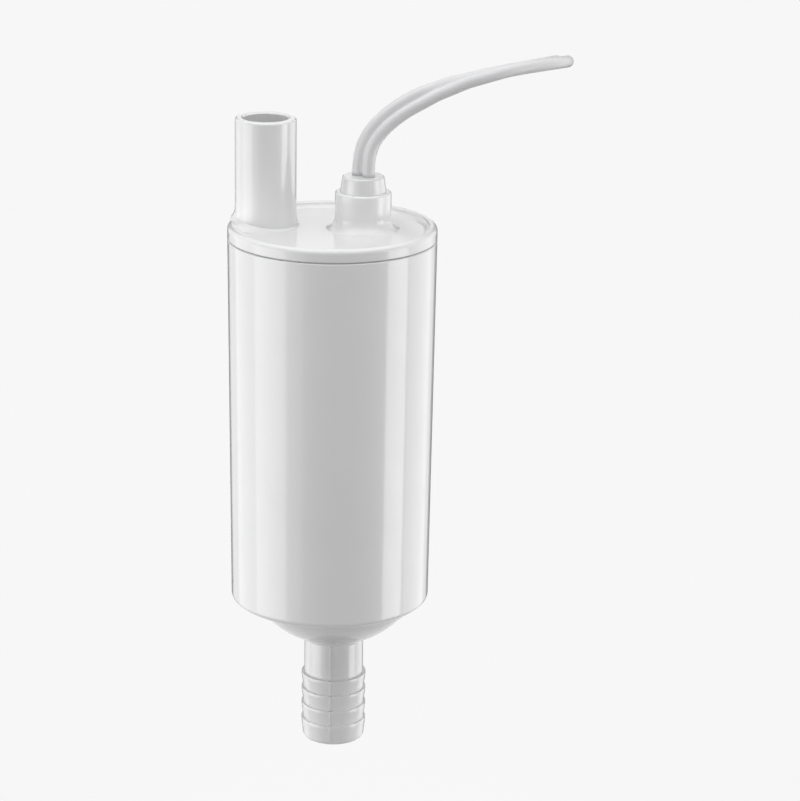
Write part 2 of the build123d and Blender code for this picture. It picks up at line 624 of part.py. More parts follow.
def make_armature_core():
    """Laminated core with three poles."""
    shoe_x = CORE_R * cos(radians(POLE_HALF_ANGLE))
    shoe_ring = ring(CORE_R - POLE_SHOE, CORE_R, CORE_Z, CORE_TOP_Z)
    shoe = shoe_ring & block(2 * CORE_R, 4 * CORE_R, CORE_Z, CORE_TOP_Z, shoe_x + CORE_R)
    leg_end = CORE_R - POLE_SHOE / 2
    leg = block(leg_end, POLE_LEG, CORE_Z, CORE_TOP_Z, leg_end / 2)
    core = disc(CORE_HUB_R, CORE_Z, CORE_TOP_Z) + around(POLE_COUNT, shoe + leg)
    return core - disc(SHAFT_R + PRESS_GAP, CORE_Z - 1, CORE_TOP_Z + 1)


def make_windings():
    """One rounded coil round each pole's leg."""
    low = CORE_Z - COIL_OVERHANG
    high = CORE_TOP_Z + COIL_OVERHANG
    coil_x = (COIL_INNER + COIL_OUTER) / 2
    coil = block(COIL_OUTER - COIL_INNER, COIL_WIDTH, low, high, coil_x)
    coil = fillet(coil.edges().filter_by(Axis.X), COIL_ROUND)
    gap = 2 * PRESS_GAP
    coil -= block(COIL_OUTER, POLE_LEG + gap, CORE_Z - gap, CORE_TOP_Z + gap, coil_x)
    return Compound(around(POLE_COUNT, coil))


def make_commutator():
    """Copper barrel cut into as many segments as the core has poles."""
    barrel = ring(SHAFT_R + PRESS_GAP, COMMUTATOR_R, COMMUTATOR_Z, COMMUTATOR_TOP_Z)
    slot_depth = COMMUTATOR_R - COMMUTATOR_HUB_R
    slot_z = COMMUTATOR_Z + COMMUTATOR_COLLAR
    slot = block(2 * slot_depth, COMMUTATOR_SLOT, slot_z, COMMUTATOR_TOP_Z + 1, COMMUTATOR_R)
    return barrel - around(POLE_COUNT, slot)


def make_brushes():
    """Two carbon blocks, one each side of the commutator."""
    middle = COMMUTATOR_R + BRUSH_GAP + BRUSH_LENGTH / 2
    brushes = []
    for side in (1, -1):
        brushes.append(block(BRUSH_WIDTH, BRUSH_LENGTH, BRUSH_Z, BRUSH_Z + BRUSH_HEIGHT, 0, side * middle))
    return Compound(brushes)


def make_brush_springs():
    """Leaf springs behind the brushes, bent out and up to the terminals."""
    back = COMMUTATOR_R + BRUSH_GAP + BRUSH_LENGTH
    wall = BRUSH_SPRING_WALL
    shelf_z = BRUSH_Z + BRUSH_HEIGHT + BRUSH_SPRING_RISE
    end_y = TERMINAL_Y + wall / 2
    springs = []
    for side in (1, -1):
        leaf = block(BRUSH_SPRING_WIDTH, wall, BRUSH_Z, shelf_z + wall, 0, side * (back + wall / 2))
        shelf = block(BRUSH_SPRING_WIDTH, end_y - back, shelf_z, shelf_z + wall, 0, side * (back + end_y) / 2)
        riser = block(BRUSH_SPRING_WIDTH, wall, shelf_z, END_CAP_Z, 0, side * TERMINAL_Y)
        springs.append(leaf + shelf + riser)
    return Compound(springs)


def make_terminals():
    """Two blades through the end cap, from the brush springs to the leads."""
    blades = []
    for side in (1, -1):
        top = CAN_TOP_Z + TERMINAL_HEIGHT
        blades.append(block(TERMINAL_WALL, TERMINAL_WIDTH, END_CAP_Z, top, 0, side * TERMINAL_Y))
    return Compound(blades)


def corner_radii(points, share=0.45):
    """The largest arc that the two runs at each corner of a route allow."""
    radii = []
    for before, corner, after in zip(points, points[1:], points[2:]):
        first = Vector(corner) - Vector(before)
        second = Vector(after) - Vector(corner)
        turn = radians(first.get_angle(second))
        radii.append(share * min(first.length, second.length) / tan(turn / 2))
    return radii


def round_tube(path, diameter):
    """A round tube along a path, with its volume set against section times length."""
    tube = sweep(Plane(path @ 0, z_dir=path % 0) * Circle(diameter / 2), path)
    expected = pi * diameter**2 / 4 * path.length
    print(f"tube length {path.length:.1f}, volume over section times length {tube.volume / expected:.4f}")
    return tube


def make_supply_cord():
    """Free stretch of the flex from the grommet to the hank."""
    radii = corner_radii(CORD_ROUTE)
    print("free flex radii", ", ".join(f"{radius:.1f}" for radius in radii))
    return round_tube(FilletPolyline(*CORD_ROUTE, radius=radii), CORD_WIDTH)


def biarc(start, start_way, end, end_way):
    """Two arcs, tangent to each other, between two points with given directions."""
    span = end - start
    facing = 2 * (1 - start_way.dot(end_way))
    along = span.dot(start_way + end_way)
    if facing < 1e-6:
        reach = span.dot(span) / (2 * along)
    else:
        reach = (-along + sqrt(along**2 + facing * span.dot(span))) / facing
    middle = (start + end + (start_way - end_way) * reach) * 0.5
    middle_way = (end - end_way * reach) - (start + start_way * reach)
    return [
        TangentArc(start, middle, tangent=start_way),
        TangentArc(middle, end, tangent=middle_way.normalized()),
    ]


def hank_stations():
    """Points and directions of the hank: each loop goes down one side and up the other."""
    down = Vector(0, 0, -1)
    up = Vector(0, 0, 1)
    left = Vector(-1, 0, 0)
    right = Vector(1, 0, 0)
    climb = Vector(0, -2 * HANK_STEP / HANK_RUN, 1).normalized()
    stations = [(Vector(HANK_X + HANK_FOLD_R, HANK_BACK_Y, HANK_TOP_Z), down)]
    for index in range(HANK_LOOPS):
        y = HANK_BACK_Y - index * HANK_STEP
        next_y = y - HANK_STEP
        stations.append((Vector(HANK_X + HANK_WAIST, y, HANK_WAIST_Z), down))
        stations.append((Vector(HANK_X + HANK_FOLD_R, y, HANK_BOTTOM_Z), down))
        stations.append((Vector(HANK_X, y, HANK_BOTTOM_Z - HANK_FOLD_R), left))
        stations.append((Vector(HANK_X - HANK_FOLD_R, y, HANK_BOTTOM_Z), up))
        stations.append((Vector(HANK_X - HANK_WAIST, (y + next_y) / 2, HANK_WAIST_Z), climb))
        stations.append((Vector(HANK_X - HANK_FOLD_R, next_y, HANK_TOP_Z), up))
        stations.append((Vector(HANK_X, next_y, HANK_TOP_Z + HANK_FOLD_R), right))
        stations.append((Vector(HANK_X + HANK_FOLD_R, next_y, HANK_TOP_Z), down))
    return stations


def hank_path():
    """The hank's centre line, straight for one diameter at each end."""
    stations = hank_stations()
    first = stations[0][0]
    last = stations[-1][0]
    end_run = Vector(0, 0, CORD_WIDTH)
    edges = [Line(first + end_run, first)]
    for (start, start_way), (end, end_way) in zip(stations, stations[1:]):
        edges += biarc(start, start_way, end, end_way)
    edges.append(Line(last, last - end_run))
    return Wire([edge.edge() for edge in edges])


def least_gap(path, diameter):
    """The smallest gap between stretches of a tube that lie apart along its path."""
    spacing = 1.0
    count = ceil(path.length / spacing)
    points = [path @ (index / count) for index in range(count + 1)]
    apart = ceil(3 * diameter / spacing)
    least = path.length
    for index, point in enumerate(points):
        for other in points[index + apart:]:
            least = min(least, (other - point).length)
    return least - diameter


def make_cord_hank():
    """Spare flex folded into loops that are drawn in at the waist."""
    path = hank_path()
    print(f"hank least gap to itself {least_gap(path, CORD_WIDTH):.2f}")
    return round_tube(path, CORD_WIDTH)


def make_cord_tie():
    """Band round the hank's waist with a small head at the back."""
    front_y = HANK_BACK_Y - (HANK_LOOPS - 0.5) * HANK_STEP - TIE_TILT
    x_size = 2 * HANK_WAIST + CORD_WIDTH + 2 * TIE_GAP
    y_size = HANK_BACK_Y - front_y + CORD_WIDTH + 2 * TIE_GAP
    middle = Pos(HANK_X, (HANK_BACK_Y + front_y) / 2, HANK_WAIST_Z - TIE_WIDTH / 2)
    outer = RectangleRounded(x_size + 2 * TIE_WALL, y_size + 2 * TIE_WALL, TIE_CORNER + TIE_WALL)
    inner = RectangleRounded(x_size, y_size, TIE_CORNER)
    band = extrude(middle * outer, TIE_WIDTH) - extrude(middle * inner, TIE_WIDTH)
    head_low = HANK_WAIST_Z - TIE_HEAD / 2
    head_y = HANK_BACK_Y + CORD_WIDTH / 2 + TIE_GAP + TIE_HEAD / 4
    return band + block(TIE_HEAD, TIE_HEAD / 2, head_low, head_low + TIE_HEAD, HANK_X, head_y)


def make_conductor_ends():
    """The two bared, tinned ends of the flex."""
    end = hank_stations()[-1][0] - Vector(0, 0, CORD_WIDTH)
    pins = []
    for side in (1, -1):
        pins.append(disc(CONDUCTOR_R, end.Z - CONDUCTOR_LENGTH, end.Z, end.X, end.Y + side * PAIR_OFFSET))
    return Compound(pins)


PARTS = {
    "case": make_case(),
    "inlet_cover": make_inlet_cover(),
    "lid": make_lid(),
    "lid_seal": make_lid_seal(),
    "cable_grommet": make_grommet(),
    "flow_guide": make_flow_guide(),
    "motor_capsule": make_capsule(),
    "capsule_cover": make_capsule_cover(),
    "capsule_gasket": ring(CAPSULE_BORE_R, CAPSULE_R, CAPSULE_TOP_Z, COVER_Z),
    "neck_gasket": ring(NECK_BORE_R, NECK_R, NECK_TOP_OF_COVER_Z, SOCKET_TOP_Z, BOSS_X, BOSS_Y),
    "shaft_seal": make_shaft_seal(),
    "seal_washer": ring(
        SHAFT_HOLE_R, SEAL_POCKET_R - SEAL_GAP, POCKET_Z + SEAL_HEIGHT, POCKET_Z + SEAL_HEIGHT + SEAL_WASHER
    ),
    "motor_can": make_motor_can(),
    "motor_end_cap": make_end_cap(),
    "magnets": make_magnets(),
    "magnet_spring": make_magnet_spring(),
    "front_bush": ring(SHAFT_R + RUNNING_GAP, BUSH_R, FRONT_BUSH_Z, FRONT_BUSH_TOP_Z),
    "rear_bush": ring(SHAFT_R + RUNNING_GAP, BUSH_R, REAR_BUSH_TOP_Z - REAR_BUSH_LENGTH, REAR_BUSH_TOP_Z),
    "carbon_brushes": make_brushes(),
    "brush_springs": make_brush_springs(),
    "terminals": make_terminals(),
    "inner_leads": make_inner_leads(),
    "shaft": disc(SHAFT_R, SHAFT_Z, SHAFT_TOP_Z),
    "impeller": make_impeller(),
    "armature_core": make_armature_core(),
    "armature_windings": make_windings(),
    "commutator": make_commutator(),
    "thrust_washer": ring(SHAFT_R + PRESS_GAP, CORE_HUB_R, WASHER_Z, WASHER_Z + THRUST_WASHER),
    "supply_cord": make_supply_cord(),
    "cord_hank": make_cord_hank(),
    "cord_tie": make_cord_tie(),
    "conductor_ends": make_conductor_ends(),
}

os.makedirs("parts", exist_ok=True)
for node, solid in PARTS.items():
    export_step(solid, f"parts/{node}.step")
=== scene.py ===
import bpy
import json
import math
from mathutils import Matrix, Vector


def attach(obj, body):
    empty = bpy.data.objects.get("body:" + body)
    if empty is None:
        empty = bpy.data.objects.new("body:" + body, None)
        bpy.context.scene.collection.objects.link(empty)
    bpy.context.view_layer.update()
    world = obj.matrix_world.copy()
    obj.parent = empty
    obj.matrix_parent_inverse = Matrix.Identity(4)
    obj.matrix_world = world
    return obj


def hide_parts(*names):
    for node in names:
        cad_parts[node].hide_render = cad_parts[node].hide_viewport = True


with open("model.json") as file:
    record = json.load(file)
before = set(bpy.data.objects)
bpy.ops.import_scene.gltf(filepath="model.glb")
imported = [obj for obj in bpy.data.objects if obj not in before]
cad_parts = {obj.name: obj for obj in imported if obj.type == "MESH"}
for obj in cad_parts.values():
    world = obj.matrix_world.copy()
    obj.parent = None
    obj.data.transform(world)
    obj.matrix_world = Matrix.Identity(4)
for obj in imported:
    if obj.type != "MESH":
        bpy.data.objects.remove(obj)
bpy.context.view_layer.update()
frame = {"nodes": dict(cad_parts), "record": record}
nodes = frame["nodes"]
MM = 0.001


# Camera
FOCAL_PX = 3160.08
IMAGE_WIDTH = 800
SENSOR_MM = 36.0
CAMERA_AT = Vector((12.73, -598.2, 252.7)) * MM
CAMERA_PITCH = 0.3004
CAMERA_ROLL = 0.0143
CLIP_START = 0.02
CLIP_END = 40


def make_camera():
    """The photograph's own viewpoint."""
    data = bpy.data.cameras.new("photo_camera")
    data.sensor_fit = "HORIZONTAL"
    data.sensor_width = SENSOR_MM
    data.lens = FOCAL_PX / IMAGE_WIDTH * SENSOR_MM
    data.clip_start = CLIP_START
    data.clip_end = CLIP_END
    camera = bpy.data.objects.new("photo_camera", data)
    turn = Matrix.Rotation(math.pi / 2 - CAMERA_PITCH, 4, "X") @ Matrix.Rotation(CAMERA_ROLL, 4, "Z")
    camera.matrix_world = Matrix.Translation(CAMERA_AT) @ turn
    bpy.context.scene.collection.objects.link(camera)
    bpy.context.scene.camera = camera


make_camera()


# Twin flex, in millimetres. The strands stand a little apart where they leave the grommet.
STRAND_R = 1.22
STRAND_OFFSET = 1.15
EXIT_SPREAD = 0.25
EXIT_SPREAD_LENGTH = 7.0
WEB_HALF = 0.42
STRAND_SIDES = 14
SPLINE_ORDER = 3
SPLINE_STEPS = 10
LEAST_STEP = 0.4
SEARCH_WINDOW = 260
TANGENT_REACH = 2
EXIT = (5.0, 1.6, 112.6)

# The free stretch, the same points as in the solids
CORD_ROUTE = [
    EXIT,
    (5.0, 1.6, 116.6),
    (6.6, 1.6, 120.6),
    (9.9, 1.6, 124.2),
    (14.9, 1.6, 127.6),
    (22.8, 1.8, 131.1),
    (34.2, 5.8, 133.2),
    (44.2, 17.6, 132.6),
    (44.0, 34.0, 129.2),
    (34.7, 48.2, 124.6),
    (22.5, 52.7, 120.8),
    (13.9, 52.7, 116.7),
    (8.5, 51.6, 111.8),
    (5.3, 50.0, 105.6),
    (5.6, 48.2, 98.0),
    (10.7, 46.2, 88.6),
    (12.4, 45.2, 81.0),
]

# The hank of folded loops behind the case
HANK_X = -1.7
HANK_BACK_Y = 45.2
HANK_TOP_Z = 69.9
HANK_RUN = 43.0
HANK_FOLD_R = 14.1
HANK_WAIST = 7.0
HANK_STEP = 5.4
HANK_LOOPS = 4
HANK_END = 4.7
FOLD_ANGLES = (18, 54, 90, 126, 162)
FOLD_SWELL = 1.045
SHOULDER_X = 14.8
SHOULDER_DROP = 5.6
WAIST_HALF = 5.2


def hank_points():
    """Control points of the loops, 18 to a turn: down the right, round, up the left, round."""
    bottom_z = HANK_TOP_Z - HANK_RUN
    waist_z = (HANK_TOP_Z + bottom_z) / 2
    side = [
        (SHOULDER_X, HANK_TOP_Z - SHOULDER_DROP),
        (HANK_WAIST, waist_z + WAIST_HALF),
        (HANK_WAIST, waist_z - WAIST_HALF),
        (SHOULDER_X, bottom_z + SHOULDER_DROP),
    ]
    fold_r = HANK_FOLD_R * FOLD_SWELL
    points = []
    for loop in range(HANK_LOOPS):
        y = HANK_BACK_Y - loop * HANK_STEP
        next_y = y - HANK_STEP
        points += [(HANK_X + x, y, z) for x, z in side]
        for angle in FOLD_ANGLES:
            a = math.radians(angle)
            points.append((HANK_X + fold_r * math.cos(a), y, bottom_z - fold_r * math.sin(a)))
        for x, z in reversed(side):
            share = (z - side[3][1]) / (side[0][1] - side[3][1])
            points.append((HANK_X - x, y + (next_y - y) * share, z))
        for angle in FOLD_ANGLES:
            a = math.radians(180 - angle)
            points.append((HANK_X + fold_r * math.cos(a), next_y, HANK_TOP_Z + fold_r * math.sin(a)))
    points.append((HANK_X + HANK_FOLD_R, next_y, HANK_TOP_Z))
    points.append((HANK_X + HANK_FOLD_R, next_y, HANK_TOP_Z - HANK_END))
    return points


def spline_path(points):
    """Points read from a smooth spline that has the route as its control points."""
    curve = bpy.data.curves.new("flex_route", "CURVE")
    curve.dimensions = "3D"
    curve.resolution_u = SPLINE_STEPS
    spline = curve.splines.new("NURBS")
    spline.points.add(len(points) - 1)
    for spot, point in zip(spline.points, points):
        spot.co = (*(c * MM for c in point), 1)
    spline.order_u = SPLINE_ORDER
    spline.use_endpoint_u = True
    holder = bpy.data.objects.new("flex_route", curve)
    bpy.context.scene.collection.objects.link(holder)
    bpy.context.view_layer.update()
    line = bpy.data.meshes.new_from_object(holder)
    path = [v.co.copy() for v in line.vertices]
    bpy.data.objects.remove(holder)
    bpy.data.meshes.remove(line)
    bpy.data.curves.remove(curve)
    kept = [path[0]]
    for point in path[1:]:
        if (point - kept[-1]).length > LEAST_STEP * MM:
            kept.append(point)
    return kept


# Where the second strand lies from the first, at points along the flex: (place, direction)
PAIR_WAYS = [
    (EXIT, (0.755, -0.656, 0.0)),
    ((7.5, 1.6, 121.5), (0.62, -0.62, -0.48)),
    ((14.9, 1.6, 127.7), (0.42, -0.68, -0.60)),
    ((20.4, 1.9, 129.8), (0.24, -0.88, -0.40)),
    ((25.5, 2.8, 131.1), (0.09, -0.99, -0.08)),
    ((33.8, 6.0, 132.7), (0.3, -0.95, 0.25)),
    ((43.8, 27.0, 130.5), (1.0, 0.0, 0.0)),
    ((34.7, 48.2, 124.6), (0.6, 0.8, -0.2)),
    ((13.9, 52.7, 116.7), (0.0, 1.0, -0.25)),
    ((5.5, 50.0, 104.0), (0.0, 1.0, 0.0)),
    ((12.4, 45.2, 81.0), (0.0, 1.0, 0.0)),
]


def pair_directions(path):
    """Along the path and across the two strands, at each of its points."""
    places = []
    start = 0
    for place, way in PAIR_WAYS:
        window = range(start, min(len(path), start + SEARCH_WINDOW))
        nearest = min(window, key=lambda i: (path[i] - Vector(place) * MM).length)
        places.append((nearest, Vector(way).normalized()))
        start = nearest
    ways = []
    for i in range(len(path)):
        before = [p for p in places if p[0] <= i][-1]
        after = [p for p in places if p[0] > i]
        if after:
            share = (i - before[0]) / (after[0][0] - before[0])
            eased = share * share * (3 - 2 * share)
            way = before[1].lerp(after[0][1], eased)
        else:
            way = before[1]
        low = max(i - TANGENT_REACH, 0)
        high = min(i + TANGENT_REACH, len(path) - 1)
        along = (path[high] - path[low]).normalized()
        way = (way - along * way.dot(along)).normalized()
        ways.append((along, way))
    return ways


def flex_section():
    """Outline of two round strands and the thin web that joins them: (across, through) pairs."""
    reach = math.pi - math.asin(WEB_HALF / STRAND_R)
    outline = []
    for side in (1, -1):
        for k in range(STRAND_SIDES):
            angle = -reach + 2 * reach * k / (STRAND_SIDES - 1)
            across = STRAND_OFFSET + STRAND_R * math.cos(angle)
            outline.append((side * across, side * STRAND_R * math.sin(angle)))
    return outline


def mesh_object(name, verts, faces, smooth=True):
    """A mesh in the scene. Smooth shading leaves end caps, which have many sides, flat."""
    mesh = bpy.data.meshes.new(name)
    mesh.from_pydata(verts, [], faces)
    mesh.update()
    if smooth:
        mesh.polygons.foreach_set("use_smooth", [len(f) <= 4 for f in faces])
    obj = bpy.data.objects.new(name, mesh)
    bpy.context.scene.collection.objects.link(obj)
    return obj


def make_flex():
    """The flex from the grommet to its free end, as one mesh, and the path that it follows."""
    path = spline_path(CORD_ROUTE + hank_points())
    outline = flex_section()
    count = len(outline)
    verts = []
    faces = []
    for point, (along, way) in zip(path, pair_directions(path)):
        through = along.cross(way)
        from_exit = (point - path[0]).length / (EXIT_SPREAD_LENGTH * MM)
        spread = EXIT_SPREAD * max(0.0, 1 - from_exit)
        for across, deep in outline:
            across += math.copysign(spread, across)
            verts.append(point + (way * across + through * deep) * MM)
    for ring in range(len(path) - 1):
        for k in range(count):
            a = ring * count + k
            b = ring * count + (k + 1) % count
            faces.append((a, b, b + count, a + count))
    faces.append(tuple(reversed(range(count))))
    faces.append(tuple(range((len(path) - 1) * count, len(path) * count)))
    return mesh_object("twin_flex", verts, faces), path


# Parting line on the rib of the tail, in millimetres. The radii are those of the rib.
RIB_CREST_R = 6.5
RIB_TROUGH_R = 6.22
RIB_NECK_R = 6.05
RIB_RISE = 2.04
BARB_PITCH = 3.27
BARB_COUNT = 4
PARTING_LOW_Z = -1.0
PARTING_HIGH_Z = 17.0
PARTING_AZIMUTH = -5.5
PARTING_HALF_WIDTH = 0.13
PARTING_PROUD = 0.03
PARTING_ROOT = 0.05


def make_parting_line():
    """The fine line where the mould's halves met, down the rib on the front of the tail. Its pale
    white is a painted highlight along the ridge.
    """
    profile = [(PARTING_LOW_Z, RIB_CREST_R)]
    for index in range(BARB_COUNT - 1):
        crest_z = index * BARB_PITCH
        profile.append((crest_z, RIB_CREST_R))
        profile.append((crest_z, RIB_TROUGH_R))
        profile.append((crest_z + RIB_RISE, RIB_CREST_R))
    top_z = (BARB_COUNT - 1) * BARB_PITCH
    profile += [(top_z, RIB_CREST_R), (top_z, RIB_NECK_R), (PARTING_HIGH_Z, RIB_NECK_R)]

    turn = math.radians(PARTING_AZIMUTH)
    outward = Vector((math.sin(turn), -math.cos(turn), 0))
    across = Vector((math.cos(turn), math.sin(turn), 0)) * PARTING_HALF_WIDTH
    verts = []
    for z, radius in profile:
        outer = outward * (radius + PARTING_PROUD) + Vector((0, 0, z))
        inner = outward * (radius - PARTING_ROOT) + Vector((0, 0, z))
        corners = (outer - across, outer + across, inner + across, inner - across)
        verts += [corner * MM for corner in corners]

    last = len(verts) - 4
    faces = [(3, 2, 1, 0), (last, last + 1, last + 2, last + 3)]
    for low in range(0, last, 4):
        for k in range(4):
            after = (k + 1) % 4
            faces.append((low + k, low + after, low + 4 + after, low + 4 + k))
    return mesh_object("parting_line", verts, faces, smooth=False)


# Materials. Noise is (scale, detail), with the scale in cycles to a metre, and depths are in microns.
MICRON = 0.000001
NOISE_LOW = 0.3
NOISE_HIGH = 0.7
PLASTIC_IOR = 1.5
PLASTIC_CLOUD = (55, 4)
PLASTIC_LIFT = 0.4
PLASTIC_GLOSS = (210, 3)
PLASTIC_UNEVEN = (0.88, 1.14)
PLASTIC_SKIN_DETAIL = 2
METAL_TONE = (160, 3)
METAL_UNEVEN = (0.8, 1.25)
METAL_GRAIN_DETAIL = 4
RUBBER_ROUGHNESS = 0.6
RUBBER_BLOOM = (300, 4)
RUBBER_BLOOM_GAIN = 1.6
RUBBER_GLOSS = (500, 3)
RUBBER_UNEVEN = (0.9, 1.1)
RUBBER_GRAIN = (1800, 3)
RUBBER_DEPTH = 8
BAND_GLOSS = (700, 3)
BAND_UNEVEN = (0.8, 1.2)
BAND_DEPTH = 40
WAVE_RADIANS = 20
CORD_COLOUR = (0.73, 0.73, 0.74)
CORD_TONE = (90, 4)
CORD_SHADES = (0.97, 1.02)
CORD_GLOSS = (420, 3)
CORD_ROUGHNESS = (0.30, 0.40)
CORD_GRAIN = (1400, 3)
CORD_DEPTH = 6


class Graph:
    """One procedural material, with short helpers to build it."""

    def __init__(self, name):
        self.material = bpy.data.materials.new(name)
        self.material.use_nodes = True
        self.tree = self.material.node_tree
        self.shader = next(n for n in self.tree.nodes if n.type == "BSDF_PRINCIPLED")

    def node(self, kind, **inputs):
        made = self.tree.nodes.new(kind)
        for key, value in inputs.items():
            made.inputs[key.replace("_", " ")].default_value = value
        return made

    def link(self, out, into):
        self.tree.links.new(out, into)

    def position(self, scale=(1, 1, 1)):
        coords = self.tree.nodes.new("ShaderNodeTexCoord")
        mapping = self.tree.nodes.new("ShaderNodeMapping")
        mapping.inputs["Scale"].default_value = scale
        self.link(coords.outputs["Object"], mapping.inputs["Vector"])
        return mapping.outputs["Vector"]

    def noise(self, scale, detail, stretch=(1, 1, 1)):
        noise = self.node("ShaderNodeTexNoise", Scale=scale, Detail=detail)
        self.link(self.position(stretch), noise.inputs["Vector"])
        return noise.outputs["Fac"]

    def spread(self, value, low, high):
        """The noise's middle range, stretched to run from low to high."""
        ranged = self.tree.nodes.new("ShaderNodeMapRange")
        ranged.inputs["From Min"].default_value = NOISE_LOW
        ranged.inputs["From Max"].default_value = NOISE_HIGH
        ranged.inputs["To Min"].default_value = low
        ranged.inputs["To Max"].default_value = high
        self.link(value, ranged.inputs["Value"])
        return ranged.outputs["Result"]

    def colours(self, value, dark, light):
        """The same middle range, as a ramp from dark to light."""
        ramp = self.tree.nodes.new("ShaderNodeValToRGB")
        ramp.color_ramp.elements[0].position = NOISE_LOW
        ramp.color_ramp.elements[1].position = NOISE_HIGH
        ramp.color_ramp.elements[0].color = (*dark, 1)
        ramp.color_ramp.elements[1].color = (*light, 1)
        self.link(value, ramp.inputs["Fac"])
        return ramp.outputs["Color"]

    def bump(self, value, microns):
        bump = self.node("ShaderNodeBump", Strength=1.0, Distance=microns * MICRON)
        self.link(value, bump.inputs["Height"])
        return bump.outputs["Normal"]

    def wire(self, colour, roughness, normal):
        self.link(colour, self.shader.inputs["Base Color"])
        self.link(roughness, self.shader.inputs["Roughness"])
        self.link(normal, self.shader.inputs["Normal"])


def scaled(values, factor):
    """A colour, or a pair of roughnesses, times a factor."""
    return tuple(value * factor for value in values)


def plastic(name, colour, rough, skin=900, depth=4, variation=0.02, polish=None):
    """Moulded plastic: faint cloudiness, a fine moulded skin and slightly uneven gloss."""
    g = Graph(name)
    g.shader.inputs["IOR"].default_value = PLASTIC_IOR
    if polish is not None:
        g.shader.inputs["Coat Weight"].default_value = 1.0
        g.shader.inputs["Coat Roughness"].default_value = polish
    dark = scaled(colour, 1 - variation)
    light = scaled(colour, 1 + variation * PLASTIC_LIFT)
    g.wire(
        g.colours(g.noise(*PLASTIC_CLOUD), dark, light),
        g.spread(g.noise(*PLASTIC_GLOSS), *scaled(PLASTIC_UNEVEN, rough)),
        g.bump(g.noise(skin, PLASTIC_SKIN_DETAIL), depth),
    )
    return g.material


def metal(name, colour, rough, stretch=(1, 1, 1), scale=1500, depth=2, variation=0.12):
    """Metal with a drawn, turned or rolled grain."""
    g = Graph(name)
    g.shader.inputs["Metallic"].default_value = 1.0
    grain = g.noise(scale, METAL_GRAIN_DETAIL, stretch)
    g.wire(
        g.colours(g.noise(*METAL_TONE), scaled(colour, 1 - variation), colour),
        g.spread(grain, *scaled(METAL_UNEVEN, rough)),
        g.bump(grain, depth),
    )
    return g.material


def rubber(name, colour):
    """Rubber: dull, with a fine grain and a little bloom."""
    g = Graph(name)
    g.wire(
        g.colours(g.noise(*RUBBER_BLOOM), colour, scaled(colour, RUBBER_BLOOM_GAIN)),
        g.spread(g.noise(*RUBBER_GLOSS), *scaled(RUBBER_UNEVEN, RUBBER_ROUGHNESS)),
        g.bump(g.noise(*RUBBER_GRAIN), RUBBER_DEPTH),
    )
    return g.material


def banded(name, colour, dark, pitch, axis, rough):
    """Fine even bands across one axis, as wound wire or stacked sheets, with their pitch in mm. The
    dark band lies in each groove of the bump.
    """
    g = Graph(name)
    g.shader.inputs["Metallic"].default_value = 1.0
    scale = 2 * math.pi / (pitch * MM * WAVE_RADIANS)
    wave = g.node("ShaderNodeTexWave", Scale=scale, Distortion=0.0)
    wave.bands_direction = axis
    g.link(g.position(), wave.inputs["Vector"])
    g.wire(
        g.colours(wave.outputs["Fac"], dark, colour),
        g.spread(g.noise(*BAND_GLOSS), *scaled(BAND_UNEVEN, rough)),
        g.bump(wave.outputs["Fac"], BAND_DEPTH),
    )
    return g.material


def cord_plastic():
    """Soft PVC sheath: satin, with a faint drawn grain and small dull patches."""
    g = Graph("flex_pvc")
    g.shader.inputs["IOR"].default_value = PLASTIC_IOR
    g.wire(
        g.colours(g.noise(*CORD_TONE), *(scaled(CORD_COLOUR, shade) for shade in CORD_SHADES)),
        g.spread(g.noise(*CORD_GLOSS), *CORD_ROUGHNESS),
        g.bump(g.noise(*CORD_GRAIN), CORD_DEPTH),
    )
    return g.material


HOUSING_WHITE = (0.80, 0.80, 0.805)
GROMMET_WHITE = (0.74, 0.74, 0.745)
TIE_WHITE = (0.78, 0.78, 0.76)
CAPSULE_WHITE = (0.70, 0.70, 0.68)
ACETAL_WHITE = (0.72, 0.72, 0.69)
NYLON_WHITE = (0.74, 0.73, 0.67)
# Painted highlight: the parting line is the housing's own plastic, and this paler white stands in for
# the highlight along its ridge.
PARTING_HIGHLIGHT_WHITE = (0.94, 0.94, 0.94)
FERRITE_GREY = (0.06, 0.06, 0.065)
CARBON_BLACK = (0.03, 0.03, 0.03)
CAP_BLACK = (0.035, 0.035, 0.037)
RUBBER_BLACK = (0.022, 0.022, 0.022)
TIN = (0.78, 0.77, 0.74)
STEEL = (0.56, 0.56, 0.56)
ZINC = (0.62, 0.62, 0.60)
COPPER = (0.75, 0.38, 0.24)
BRONZE = (0.48, 0.33, 0.16)
BRASS = (0.74, 0.56, 0.27)
CORE_BANDS = ((0.34, 0.34, 0.34), (0.12, 0.12, 0.12), 0.5, "Z")
# The windings' dark band is painted shade in the grooves between turns.
WINDING_BANDS = ((0.62, 0.24, 0.10), (0.25, 0.07, 0.03), 0.4, "X")

